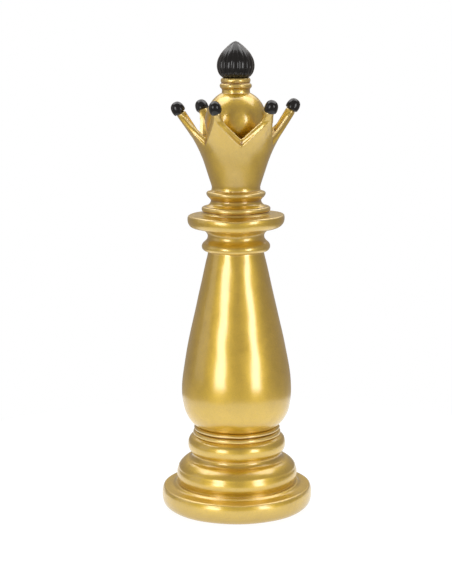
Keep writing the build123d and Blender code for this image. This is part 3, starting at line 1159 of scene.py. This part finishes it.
felt_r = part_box("felt_pad")[1][0] / MM
felt_thick = top_of("felt_pad")
felt_face = felt_thick - 0.02
felt_section = np.vstack(
    [
        [(0, 0.04)],
        through(
            [
                (12, 0.02),
                (30, 0.02),
                (46, 0.03),
                (49.2, 0.12),
                (felt_r - 0.1, 0.6),
                (felt_r - 0.05, 1.2),
                (felt_r - 0.35, 1.8),
                (49.0, felt_face, 1),
                (30, felt_face),
                (12, felt_face),
            ],
            0.9,
            0.3,
        ),
        [(0, felt_face)],
    ]
)


def felt_nap(r, z, a):
    """The cut edge is fuzzy, and the lower face is slightly dented and never below the floor."""
    edge = np.clip((r - 46) / 4, 0, 1)
    fuzz = 0.1 * np.sin(23 * a + 1.3) * np.sin(9 * a) + 0.07 * np.sin(51 * a) + 0.05 * np.sin(97 * a + 0.5)
    dent = 0.03 + 0.03 * np.sin(0.35 * r * np.cos(a) + 1) * np.cos(0.31 * r * np.sin(a))
    under = (z < 1.0) & (r < 47)
    return r + edge * fuzz * 0.8 - edge * 0.1, np.where(under, np.maximum(z, 0.0) + dent, z)


co, quads = lathe(felt_section, 240, closed=False, shape=felt_nap)
felt = make_piece("felt_disc", co, quads, FELT, sharp=70)
stands_for(felt, "felt_pad")


# Stage, lights and camera -------------------------------------------------------------------------


FLOOR_R = 0.36
FLOOR_SIDES = 96
FLOOR_GLOW = 0.93


def pale_floor():
    """A matt floor that glows nearly white."""
    n = Nodes("pale_floor")
    n.set(Base_Color=(0.15, 0.15, 0.15, 1.0), Roughness=0.8, Specular_IOR_Level=0.2)
    n.set(Emission_Color=(1, 1, 1, 1), Emission_Strength=FLOOR_GLOW)
    return n.material


floor_mesh = bpy.data.meshes.new("floor")
corners = [k * TAU / FLOOR_SIDES for k in range(FLOOR_SIDES)]
rim = [(FLOOR_R * math.cos(a), FLOOR_R * math.sin(a), 0) for a in corners]
floor_mesh.from_pydata(rim, [], [tuple(range(FLOOR_SIDES))])
floor = bpy.data.objects.new("floor", floor_mesh)
bpy.context.scene.collection.objects.link(floor)
floor_mesh.materials.append(pale_floor())


def softbox(name, azimuth, distance, height, width, tall, glow, aim=None):
    """An area light at an azimuth from the viewer's side, in degrees, that faces the axis at its own height
    or at the height aim. Its power follows its size, so glow is how bright its face looks."""
    light = bpy.data.lights.new(name, "AREA")
    light.shape = "RECTANGLE"
    light.size, light.size_y = width, tall
    light.energy = glow * math.pi * width * tall
    piece = bpy.data.objects.new(name, light)
    bpy.context.scene.collection.objects.link(piece)
    a = math.radians(azimuth)
    place = Vector((distance * math.sin(a), -distance * math.cos(a), height))
    piece.location = place
    target = Vector((0, 0, height if aim is None else aim))
    piece.rotation_euler = (target - place).to_track_quat("-Z", "Y").to_euler()


softbox("softbox_left", -36, 1.5, 0.42, 0.58, 0.86, 4.1)
softbox("softbox_right", 42, 1.5, 0.42, 0.48, 0.86, 4.5)
softbox("upper_left", -114, 1.0, 1.7, 1.0, 0.8, 2.3, 0.2)
softbox("upper_right", 114, 1.0, 1.7, 1.0, 0.8, 2.0, 0.2)
softbox("overhead", 180, 0.28, 1.6, 1.2, 0.7, 2.1, 0.2)
softbox("back_panel", 180, 1.3, 1.3, 2.0, 0.7, 1.1, 0.25)
softbox("left_fill", -86, 1.2, 0.5, 0.6, 0.9, 0.36)

# The camera sees a white room, and the piece is lit and mirrored in a warmer, dimmer one.
ROOM_COLOUR = (1.0, 0.905, 0.84, 1)
ROOM_FRONT = 0.36
ROOM_BACK = 0.35
world = bpy.data.worlds.new("studio")
bpy.context.scene.world = world
world.use_nodes = True
tree = world.node_tree
tree.nodes.clear()
out = tree.nodes.new("ShaderNodeOutputWorld")
seen = tree.nodes.new("ShaderNodeBackground")
seen.inputs[0].default_value = (1, 1, 1, 1)
seen.inputs[1].default_value = 1.0
room = tree.nodes.new("ShaderNodeBackground")
room.inputs[0].default_value = ROOM_COLOUR
way = tree.nodes.new("ShaderNodeTexCoord")
parts = tree.nodes.new("ShaderNodeSeparateXYZ")
tree.links.new(way.outputs["Generated"], parts.inputs[0])
glow = tree.nodes.new("ShaderNodeMapRange")
for key, number in (("From Min", -1), ("From Max", 1), ("To Min", ROOM_FRONT), ("To Max", ROOM_BACK)):
    glow.inputs[key].default_value = number
tree.links.new(parts.outputs["Y"], glow.inputs["Value"])
tree.links.new(glow.outputs[0], room.inputs[1])
path = tree.nodes.new("ShaderNodeLightPath")
pick = tree.nodes.new("ShaderNodeMixShader")
tree.links.new(path.outputs["Is Camera Ray"], pick.inputs[0])
tree.links.new(room.outputs[0], pick.inputs[1])
tree.links.new(seen.outputs[0], pick.inputs[2])
tree.links.new(pick.outputs[0], out.inputs["Surface"])

scene = bpy.context.scene
scene.view_settings.view_transform = "Standard"
scene.view_settings.exposure = 0.0

# Distance and height in metres, angles in degrees, and the lens in pixels of the picture.
CAMERA_DISTANCE = 1.203
CAMERA_HEIGHT = 0.3956
CAMERA_PITCH = 10.1
CAMERA_TURN = 0.405
CAMERA_ROLL = 0.24
SENSOR = 36.0
FOCAL_LENGTH = 1485
PICTURE_HEIGHT = 584
camera_data = bpy.data.cameras.new("camera")
camera_data.sensor_width = SENSOR
camera_data.lens = SENSOR * FOCAL_LENGTH / PICTURE_HEIGHT
camera_data.clip_start = 0.05
camera_data.clip_end = 50.0
camera = bpy.data.objects.new("camera", camera_data)
scene.collection.objects.link(camera)
camera.location = (0, -CAMERA_DISTANCE, CAMERA_HEIGHT)
turn = Matrix.Rotation(math.radians(CAMERA_TURN), 3, "Z")
pitch = Matrix.Rotation(math.radians(90 - CAMERA_PITCH), 3, "X")
roll = Matrix.Rotation(math.radians(-CAMERA_ROLL), 3, "Z")
camera.rotation_euler = (turn @ pitch @ roll).to_euler()
scene.camera = camera
